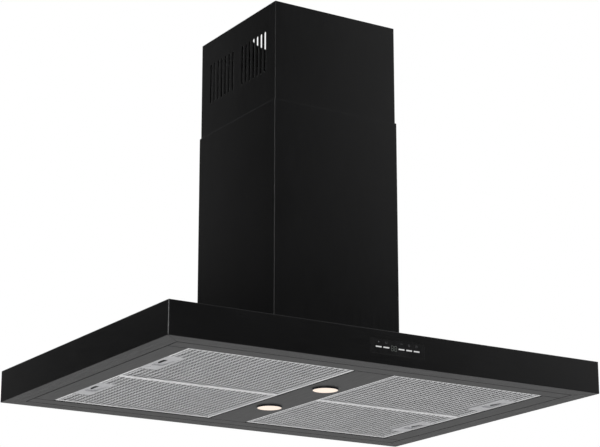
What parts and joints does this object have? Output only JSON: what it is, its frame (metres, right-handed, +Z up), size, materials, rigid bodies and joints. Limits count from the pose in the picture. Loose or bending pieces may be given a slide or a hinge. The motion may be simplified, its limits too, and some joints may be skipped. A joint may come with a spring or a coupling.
{
  "type": "island range hood",
  "caption": "Ceiling-hung island range hood: flat rectangular canopy with grease filters and lamps under it, a telescopic square chimney and a blower inside.",
  "frame": {"origin": "centre of the ceiling plate's top face, which bolts to the ceiling", "axes": "+X along the canopy's long side, -Y towards the side with the touch control, +Z up into the ceiling"},
  "size_m": [0.9, 0.66, 0.7185],
  "materials": {
    "black_enamel": "gloss black enamel on sheet steel",
    "underside_paint": "satin dark grey paint",
    "frame_paint": "matt black paint",
    "zinc_steel": "galvanised sheet",
    "fastener_steel": "zinc plated",
    "black_fastener": "black oxide",
    "lamp_metal": "black nickel, polished",
    "lamp_lens": "frosted diffuser",
    "lamp_heatsink": "die cast",
    "smoked_window": "smoked acrylic",
    "light_guide": "clear acrylic, lit white",
    "display_face": "display behind the window",
    "circuit_board": "solder mask",
    "black_plastic": "moulded",
    "white_plastic": "moulded",
    "grey_plastic": "moulded",
    "motor_case": "pressed steel",
    "capacitor_case": "moulded",
    "filter_aluminium": "anodised",
    "filter_mesh": "expanded sheet pressed into waves",
    "latch_plastic": "silver grey moulding"
  },
  "bodies": {
    "ceiling_frame": {"ceiling_plate": "frame_paint", "upper_uprights": "frame_paint", "upper_braces": "frame_paint", "ceiling_screws": "fastener_steel", "upper_chimney": "black_enamel", "chimney_screws": "black_fastener"},
    "hood": {"canopy_front": "black_enamel", "canopy_rear": "black_enamel", "canopy_left": "black_enamel", "canopy_right": "black_enamel", "canopy_top": "black_enamel", "front_rail": "underside_paint", "rear_rail": "underside_paint", "left_rail": "underside_paint", "right_rail": "underside_paint", "lamp_bridge": "underside_paint", "lower_uprights": "frame_paint", "lower_braces": "frame_paint", "motor_bracket": "zinc_steel", "frame_bolts": "fastener_steel", "frame_nuts": "fastener_steel", "hood_screws": "fastener_steel", "flap_rod": "fastener_steel", "lamp_bezels": "lamp_metal", "lamp_lenses": "lamp_lens", "lamp_bodies": "lamp_heatsink", "control_window": "smoked_window", "control_light_guides": "light_guide", "control_display": "display_face", "control_board": "circuit_board", "control_box": "black_plastic", "scroll_front": "black_plastic", "scroll_rear": "black_plastic", "outlet_collar": "black_plastic", "led_driver": "white_plastic", "terminal_box": "white_plastic", "cable_gland": "grey_plastic", "motor": "motor_case", "capacitor": "capacitor_case"},
    "lower_sleeve": {"lower_chimney": "black_enamel"},
    "wheel": {"impeller": "grey_plastic", "motor_shaft": "fastener_steel"},
    "left_flap": {"flap_left": "white_plastic"},
    "right_flap": {"flap_right": "white_plastic"},
    "filter_front_left": {"filter_front_left_frame": "filter_aluminium", "filter_front_left_mesh": "filter_mesh", "filter_front_left_latch_case": "latch_plastic"},
    "latch_front_left": {"filter_front_left_latch_slider": "black_plastic"},
    "filter_front_right": {"filter_front_right_frame": "filter_aluminium", "filter_front_right_mesh": "filter_mesh", "filter_front_right_latch_case": "latch_plastic"},
    "latch_front_right": {"filter_front_right_latch_slider": "black_plastic"},
    "filter_rear_left": {"filter_rear_left_frame": "filter_aluminium", "filter_rear_left_mesh": "filter_mesh", "filter_rear_left_latch_case": "latch_plastic"},
    "latch_rear_left": {"filter_rear_left_latch_slider": "black_plastic"},
    "filter_rear_right": {"filter_rear_right_frame": "filter_aluminium", "filter_rear_right_mesh": "filter_mesh", "filter_rear_right_latch_case": "latch_plastic"},
    "latch_rear_right": {"filter_rear_right_latch_slider": "black_plastic"}
  },
  "joints": [
    {"name": "height_adjust", "type": "slide", "parent": "ceiling_frame", "child": "hood", "axis": [0, 0, -1], "range_m": [-0.06, 0.2]},
    {"name": "lower_chimney_lift", "type": "slide", "parent": "hood", "child": "lower_sleeve", "axis": [0, 0, 1], "range_m": [0, 0.12]},
    {"name": "impeller_spin", "type": "hinge", "parent": "hood", "child": "wheel", "pos_m": [-0.0075, 0, -0.5665], "axis": [0, 1, 0], "continuous": true},
    {"name": "left_flap_swing", "type": "hinge", "parent": "hood", "child": "left_flap", "pos_m": [0, 0, -0.425], "axis": [0, 1, 0], "range_deg": [0, 78]},
    {"name": "right_flap_swing", "type": "hinge", "parent": "hood", "child": "right_flap", "pos_m": [0, 0, -0.425], "axis": [0, -1, 0], "range_deg": [0, 78]},
    {"name": "filter_front_left_swing", "type": "hinge", "parent": "hood", "child": "filter_front_left", "pos_m": [-0.0412, -0.12975, -0.7148], "axis": [0, -1, 0], "range_deg": [0, 80]},
    {"name": "latch_front_left_slide", "type": "slide", "parent": "filter_front_left", "child": "latch_front_left", "axis": [-1, 0, 0], "range_m": [0, 0.005], "stiffness_N_per_m": 300, "springref_m": 0.007},
    {"name": "filter_front_right_swing", "type": "hinge", "parent": "hood", "child": "filter_front_right", "pos_m": [0.0412, -0.12975, -0.7148], "axis": [0, 1, 0], "range_deg": [0, 80]},
    {"name": "latch_front_right_slide", "type": "slide", "parent": "filter_front_right", "child": "latch_front_right", "axis": [1, 0, 0], "range_m": [0, 0.005], "stiffness_N_per_m": 300, "springref_m": 0.007},
    {"name": "filter_rear_left_swing", "type": "hinge", "parent": "hood", "child": "filter_rear_left", "pos_m": [-0.0412, 0.12975, -0.7148], "axis": [0, -1, 0], "range_deg": [0, 80]},
    {"name": "latch_rear_left_slide", "type": "slide", "parent": "filter_rear_left", "child": "latch_rear_left", "axis": [-1, 0, 0], "range_m": [0, 0.005], "stiffness_N_per_m": 300, "springref_m": 0.007},
    {"name": "filter_rear_right_swing", "type": "hinge", "parent": "hood", "child": "filter_rear_right", "pos_m": [0.0412, 0.12975, -0.7148], "axis": [0, 1, 0], "range_deg": [0, 80]},
    {"name": "latch_rear_right_slide", "type": "slide", "parent": "filter_rear_right", "child": "latch_rear_right", "axis": [1, 0, 0], "range_m": [0, 0.005], "stiffness_N_per_m": 300, "springref_m": 0.007}
  ]
}
